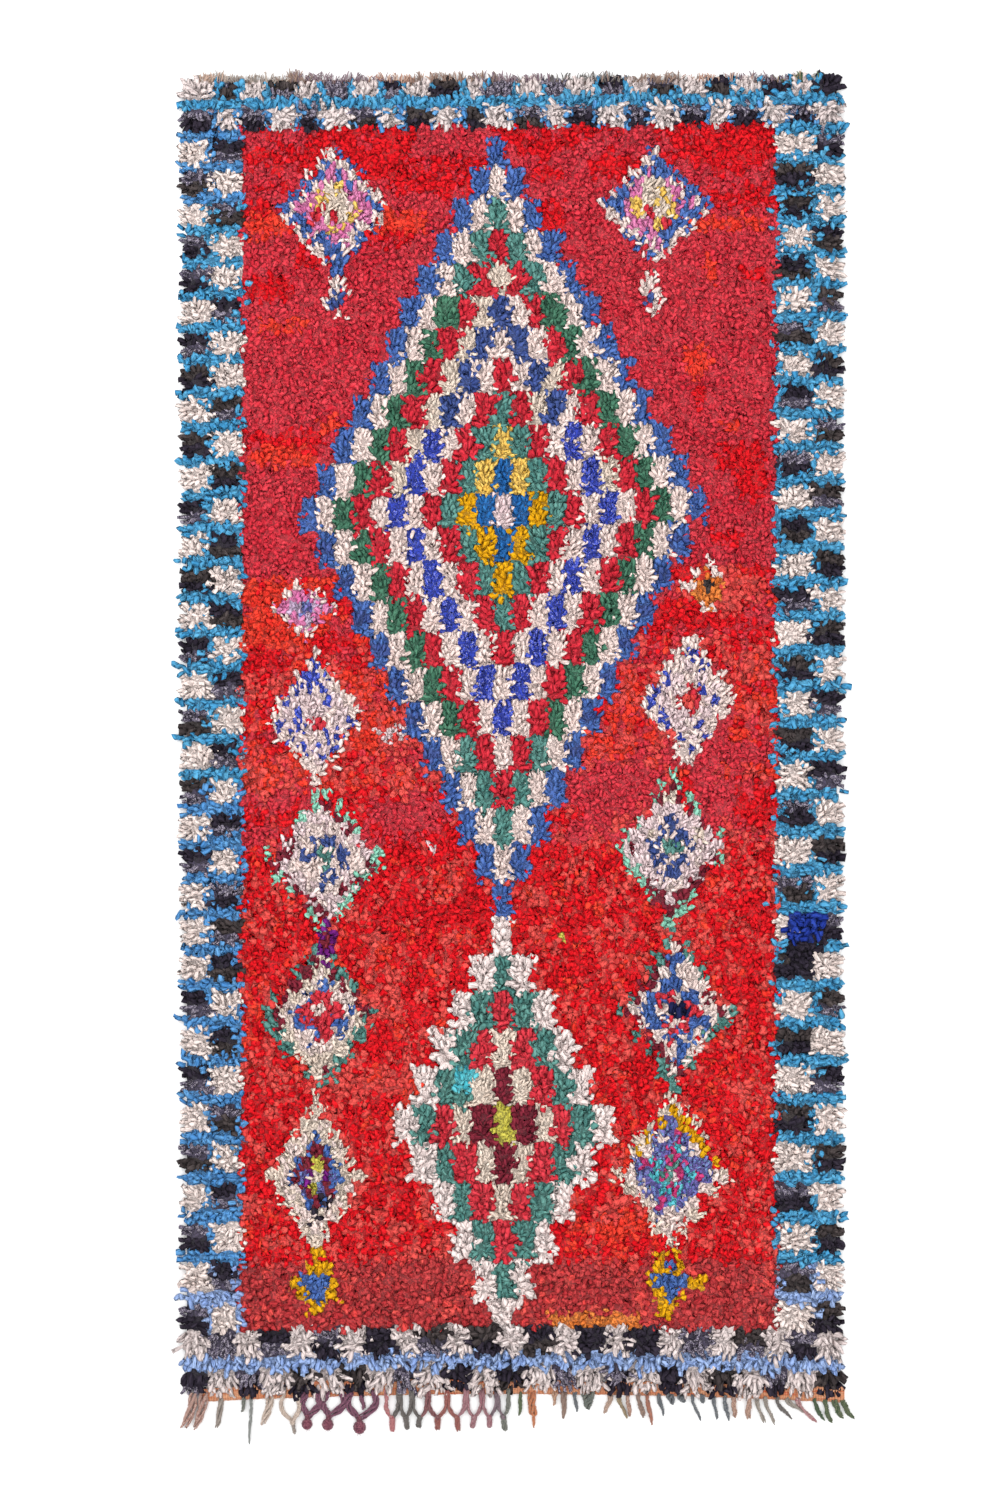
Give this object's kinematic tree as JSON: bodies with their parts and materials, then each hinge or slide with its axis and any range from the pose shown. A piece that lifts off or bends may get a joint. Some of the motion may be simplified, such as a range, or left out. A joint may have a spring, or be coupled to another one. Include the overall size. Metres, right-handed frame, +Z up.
{
  "type": "boucherouite rug",
  "caption": "Flat hand-knotted rag rug with a deep pile, stepped lozenges on a red field, checked borders, cut warp ends at the head and a knotted and netted fringe at the tail.",
  "frame": {"origin": "on the floor under the middle of the rug's box, fringe included", "axes": "+Y along the rug towards its head end, the one without the netted fringe, +Z up out of the pile"},
  "size_m": [1.3, 2.59, 0.0315],
  "materials": {
    "rag_pile": "cut rag strips of cotton, wool and jersey, red with blue, white, black, green and yellow, dry and matt",
    "tail_weave": "orange flat-woven wool with fringe strands of brown, cream, purple, grey and green yarn",
    "head_warp": "short cut ends of brown, grey and tan wool warp"
  },
  "bodies": {
    "root": {"knotted_pile": "rag_pile", "tail_band": "tail_weave", "head_band": "head_warp"}
  },
  "joints": []
}
